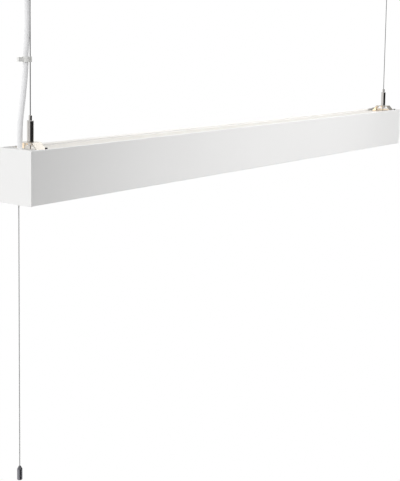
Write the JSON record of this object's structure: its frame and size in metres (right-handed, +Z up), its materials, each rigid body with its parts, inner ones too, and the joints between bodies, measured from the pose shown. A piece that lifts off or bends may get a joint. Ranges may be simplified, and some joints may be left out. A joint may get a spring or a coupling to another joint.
{
  "type": "hanging linear light",
  "caption": "Long white box-section light hung from the ceiling on two steel wires, with a glowing open top, a power cord and a pull-cord switch.",
  "frame": {"origin": "on the ceiling plane, midway between the main fixing holes of the two ceiling fittings, which are straight above the two wires", "axes": "+X along the light, away from the end with the power cord and the pull cord; -Y is the front; +Z up, into the ceiling"},
  "size_m": [1.2195, 0.1, 0.803],
  "materials": {
    "white_paint": "satin white powder coat",
    "cover_grey": "light grey, matt",
    "opal": "opal acrylic, satin, lit from behind",
    "steel": "zinc plated",
    "spring_steel": "polished spring steel",
    "nickel": "bright nickel",
    "dark_chrome": "dark chrome",
    "black_steel": "black oxide",
    "brass": "plain",
    "white_nylon": "semi-gloss",
    "white_sheath": "soft white sheath",
    "pull_braid": "fine twisted nylon",
    "circuit_board": "white solder mask",
    "led_phosphor": "phosphor",
    "galvanised": "folded sheet, mill finish"
  },
  "bodies": {
    "ceiling": {"wire_anchor_left": "nickel", "wire_anchor_right": "nickel", "anchor_nuts": "nickel", "ceiling_rose": "white_paint", "rose_plate": "steel", "rose_screws": "steel", "rose_cord_grip": "white_nylon", "rose_terminal": "white_nylon", "rose_leads": "white_nylon", "ceiling_cup": "nickel", "cup_plate": "steel", "cup_screw": "steel"},
    "suspension": {"suspension_wire_left": "steel", "suspension_wire_right": "steel", "cable_clip": "white_nylon", "power_cord": "white_sheath"},
    "light": {"housing": "white_paint", "end_cap_left": "white_paint", "end_cap_right": "white_paint", "entry_cover_top": "cover_grey", "entry_cover_bottom": "cover_grey", "blank_cover_top": "cover_grey", "blank_cover_bottom": "cover_grey", "top_diffuser": "opal", "bottom_diffuser": "opal", "gear_tray": "galvanised", "tray_screws": "steel", "led_board_up": "circuit_board", "led_board_down": "circuit_board", "leds_up": "led_phosphor", "leds_down": "led_phosphor", "led_driver": "white_nylon", "terminal_block": "white_nylon", "earth_screw": "brass", "supply_leads": "white_nylon", "switch_leads": "white_nylon", "driver_leads": "white_nylon", "switch_body": "white_nylon", "switch_spring": "steel", "switch_contacts": "brass", "cord_bushing": "cover_grey", "suspension_clip_left": "spring_steel", "suspension_clip_right": "spring_steel", "clip_grub_screws": "black_steel", "gripper_body_left": "nickel", "gripper_body_right": "nickel", "gripper_nut_left": "nickel", "gripper_nut_right": "nickel", "gripper_spring_left": "nickel", "gripper_spring_right": "nickel", "cable_gland": "white_nylon", "gland_nut": "white_nylon"},
    "tip_left": {"gripper_tip_left": "nickel", "gripper_balls_left": "nickel"},
    "tip_right": {"gripper_tip_right": "nickel", "gripper_balls_right": "nickel"},
    "switch_rod": {"switch_plunger": "white_nylon"},
    "pull": {"pull_link": "white_nylon", "pull_cord": "pull_braid", "pull_knob": "dark_chrome"}
  },
  "joints": [
    {"name": "sway", "type": "hinge", "parent": "ceiling", "child": "suspension", "pos_m": [0, 0, -0.03141], "axis": [1, 0, 0], "range_deg": [-8, 8]},
    {"name": "height_adjust", "type": "slide", "parent": "suspension", "child": "light", "axis": [0, 0, 1], "range_m": [-0.02, 0.03], "deforming": ["power_cord"]},
    {"name": "release_left", "type": "slide", "parent": "light", "child": "tip_left", "axis": [0, 0, -1], "range_m": [0, 0.0025], "stiffness_N_per_m": 500, "springref_m": -0.002, "deforming": ["gripper_spring_left"]},
    {"name": "release_right", "type": "slide", "parent": "light", "child": "tip_right", "axis": [0, 0, -1], "range_m": [0, 0.0025], "stiffness_N_per_m": 500, "springref_m": -0.002, "deforming": ["gripper_spring_right"]},
    {"name": "switch_pull", "type": "slide", "parent": "light", "child": "switch_rod", "axis": [0, 0, -1], "range_m": [0, 0.01], "stiffness_N_per_m": 300, "springref_m": -0.005, "deforming": ["switch_spring"]},
    {"name": "pull_swing", "type": "hinge", "parent": "switch_rod", "child": "pull", "pos_m": [-0.5985, 0, -0.3845], "axis": [0, 1, 0], "range_deg": [-15, 15]}
  ]
}
